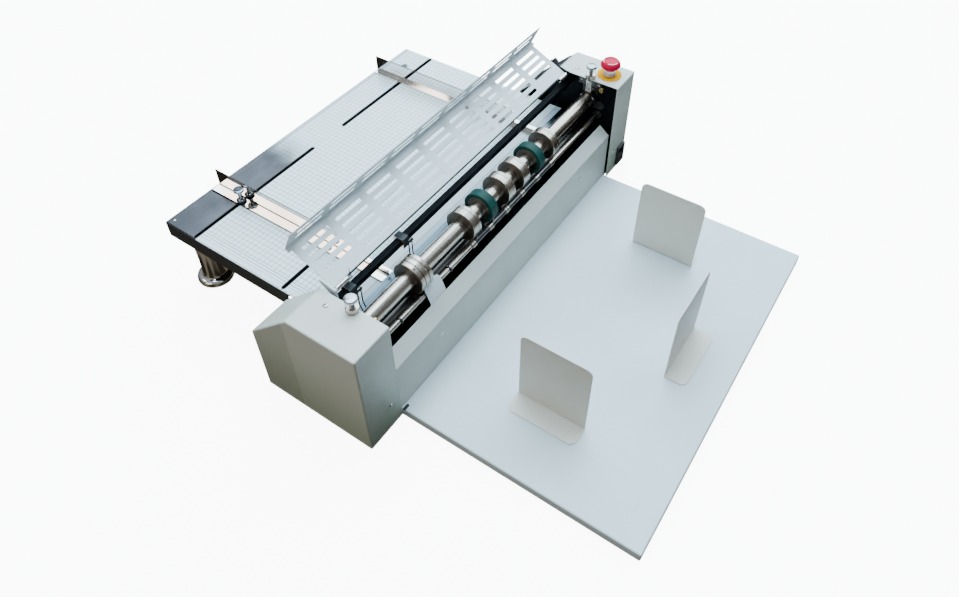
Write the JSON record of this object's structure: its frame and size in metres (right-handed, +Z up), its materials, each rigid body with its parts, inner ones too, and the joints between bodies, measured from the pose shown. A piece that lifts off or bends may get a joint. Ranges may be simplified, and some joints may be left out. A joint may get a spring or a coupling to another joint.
{
  "type": "desktop paper creasing machine",
  "caption": "Desktop rotary paper creasing and perforating machine with grid feed table, side guides, open slotted safety cover, toolings on a driven shaft and a delivery tray with stops",
  "frame": {"origin": "under the middle of the machine on the plane it stands on, centred between the tray's front edge and the table's rear edge", "axes": "X runs along the shafts to the emergency stop's side, Y points from the delivery tray to the feed table, Z is up"},
  "size_m": [0.8738, 0.9754, 0.3259],
  "materials": {
    "housing_paint": "light grey powder coat",
    "cover_paint": "light grey powder coat",
    "tray_paint": "pale bluish white powder coat",
    "stop_paint": "warm light grey powder coat",
    "guard_paint": "pale bluish white powder coat",
    "black_paint": "satin black",
    "steel": "turned bare steel",
    "chrome": "polished chrome",
    "table_steel": "polished bare steel",
    "printed_film": "pale printed grid sheet",
    "brass": "bare brass",
    "green_rubber": "green polyurethane rubber",
    "black_rubber": "matt black",
    "red_plastic": "signal red",
    "yellow_plastic": "signal yellow",
    "black_plastic": "matt black",
    "gloss_black": "shiny black",
    "motor_paint": "dark grey",
    "green_plastic": "green push button",
    "cast_iron": "dark cast"
  },
  "bodies": {
    "machine": {"side_plate_left": "black_paint", "side_plate_right": "black_paint", "housing_left": "housing_paint", "housing_right": "housing_paint", "base_plate": "black_paint", "rubber_feet": "black_rubber", "front_cover": "cover_paint", "tie_bars": "steel", "feed_table": "table_steel", "table_grid_sheet": "printed_film", "table_legs": "chrome", "infeed_guide_plate": "steel", "crossbar": "black_paint", "bearing_blocks": "steel", "oilers": "brass", "plate_caps": "black_plastic", "hinge_brackets": "black_paint", "estop_ring": "yellow_plastic", "estop_collar": "steel", "power_inlet": "black_plastic", "control_panel": "black_plastic", "delivery_tray": "tray_paint", "drive_motor": "motor_paint", "drive_belts": "black_rubber", "cover_screws": "steel"},
    "upper_shaft_set": {"upper_shaft": "steel", "upper_gear": "cast_iron", "perforating_holder": "steel", "perforating_blade": "steel", "stop_collars": "steel", "drive_hubs": "steel", "drive_ring_left": "green_rubber", "drive_ring_right": "green_rubber", "creasing_ring_left": "steel", "creasing_ring_right": "steel"},
    "lower_shaft_set": {"lower_shaft": "steel", "lower_rings": "steel", "lower_drive_wheels": "cast_iron"},
    "delivery_shaft_set": {"delivery_shaft": "steel", "delivery_rollers": "gloss_black", "delivery_bands": "steel"},
    "motor_rotor": {"motor_pulley": "steel"},
    "cover": {"safety_cover": "guard_paint", "cover_knuckles": "guard_paint"},
    "stop_button": {"estop_button": "red_plastic"},
    "speed_dial": {"speed_knob": "black_plastic"},
    "start": {"start_button": "green_plastic"},
    "screw_left": {"pressure_screw_left": "steel"},
    "screw_right": {"pressure_screw_right": "steel"},
    "nut_left": {"lock_nut_left": "steel"},
    "nut_right": {"lock_nut_right": "steel"},
    "guide_left": {"side_guide_left": "chrome"},
    "guide_right": {"side_guide_right": "chrome"},
    "knob_left": {"guide_knob_left": "black_plastic"},
    "knob_right": {"guide_knob_right": "black_plastic"},
    "tray_stop_left": {"side_stop_left": "stop_paint"},
    "tray_stop_right": {"side_stop_right": "stop_paint"},
    "tray_stop_end": {"end_stop": "stop_paint"},
    "clamp_left": {"bar_clamp_left": "black_paint"},
    "clamp_right": {"bar_clamp_right": "black_paint"}
  },
  "joints": [
    {"name": "upper_shaft_spin", "type": "hinge", "parent": "machine", "child": "upper_shaft_set", "pos_m": [0, 0.01065, 0.193], "axis": [1, 0, 0], "continuous": true},
    {"name": "lower_shaft_spin", "type": "hinge", "parent": "machine", "child": "lower_shaft_set", "pos_m": [0, 0.01065, 0.139], "axis": [1, 0, 0], "continuous": true},
    {"name": "delivery_shaft_spin", "type": "hinge", "parent": "machine", "child": "delivery_shaft_set", "pos_m": [0, -0.01235, 0.1592], "axis": [1, 0, 0], "continuous": true},
    {"name": "motor_spin", "type": "hinge", "parent": "machine", "child": "motor_rotor", "pos_m": [0, 0.09565, 0.075], "axis": [1, 0, 0], "continuous": true},
    {"name": "safety_cover_hinge", "type": "hinge", "parent": "machine", "child": "cover", "pos_m": [0, 0.05925, 0.2416], "axis": [1, 0, 0], "range_deg": [0, 154.4]},
    {"name": "emergency_stop_press", "type": "slide", "parent": "machine", "child": "stop_button", "axis": [0, 0, -1], "range_m": [0, 0.004], "stiffness_N_per_m": 800},
    {"name": "speed_knob_turn", "type": "hinge", "parent": "machine", "child": "speed_dial", "pos_m": [0.3981, 0.11259, 0.21777], "axis": [0, 0.6903, 0.7235], "range_deg": [0, 270]},
    {"name": "start_button_press", "type": "slide", "parent": "machine", "child": "start", "axis": [0, -0.6903, -0.7235], "range_m": [0, 0.002], "stiffness_N_per_m": 600},
    {"name": "pressure_screw_left_turn", "type": "hinge", "parent": "machine", "child": "screw_left", "pos_m": [-0.365, 0.01065, 0.262], "axis": [0, 0, 1], "range_deg": [-90, 90]},
    {"name": "pressure_screw_right_turn", "type": "hinge", "parent": "machine", "child": "screw_right", "pos_m": [0.365, 0.01065, 0.262], "axis": [0, 0, 1], "range_deg": [-90, 90]},
    {"name": "lock_nut_left_turn", "type": "hinge", "parent": "machine", "child": "nut_left", "pos_m": [-0.365, 0.01065, 0.2465], "axis": [0, 0, 1], "range_deg": [-45, 45]},
    {"name": "lock_nut_right_turn", "type": "hinge", "parent": "machine", "child": "nut_right", "pos_m": [0.365, 0.01065, 0.2465], "axis": [0, 0, 1], "range_deg": [-45, 45]},
    {"name": "side_guide_left_slide", "type": "slide", "parent": "machine", "child": "guide_left", "axis": [1, 0, 0], "range_m": [-0.09, 0.17]},
    {"name": "side_guide_right_slide", "type": "slide", "parent": "machine", "child": "guide_right", "axis": [1, 0, 0], "range_m": [-0.19, 0.074]},
    {"name": "guide_knob_left_turn", "type": "hinge", "parent": "guide_left", "child": "knob_left", "pos_m": [-0.2355, 0.41065, 0.18], "axis": [0, 0, 1], "range_deg": [0, 180]},
    {"name": "guide_knob_right_turn", "type": "hinge", "parent": "guide_right", "child": "knob_right", "pos_m": [0.2515, 0.41065, 0.18], "axis": [0, 0, 1], "range_deg": [0, 180]},
    {"name": "side_stop_left_slide", "type": "slide", "parent": "machine", "child": "tray_stop_left", "axis": [1, 0, 0], "range_m": [-0.09, 0.14]},
    {"name": "side_stop_right_slide", "type": "slide", "parent": "machine", "child": "tray_stop_right", "axis": [1, 0, 0], "range_m": [-0.13, 0.1]},
    {"name": "end_stop_slide", "type": "slide", "parent": "machine", "child": "tray_stop_end", "axis": [0, 1, 0], "range_m": [-0.06, 0.2]},
    {"name": "bar_clamp_left_slide", "type": "slide", "parent": "machine", "child": "clamp_left", "axis": [1, 0, 0], "range_m": [-0.015, 0.055]},
    {"name": "bar_clamp_right_slide", "type": "slide", "parent": "machine", "child": "clamp_right", "axis": [1, 0, 0], "range_m": [-0.045, 0.45]}
  ],
  "couplings": [
    {"joint": "lower_shaft_spin", "follows": "upper_shaft_spin", "ratio": -1.7},
    {"joint": "delivery_shaft_spin", "follows": "upper_shaft_spin", "ratio": -3.4},
    {"joint": "motor_spin", "follows": "upper_shaft_spin", "ratio": -3.4}
  ]
}
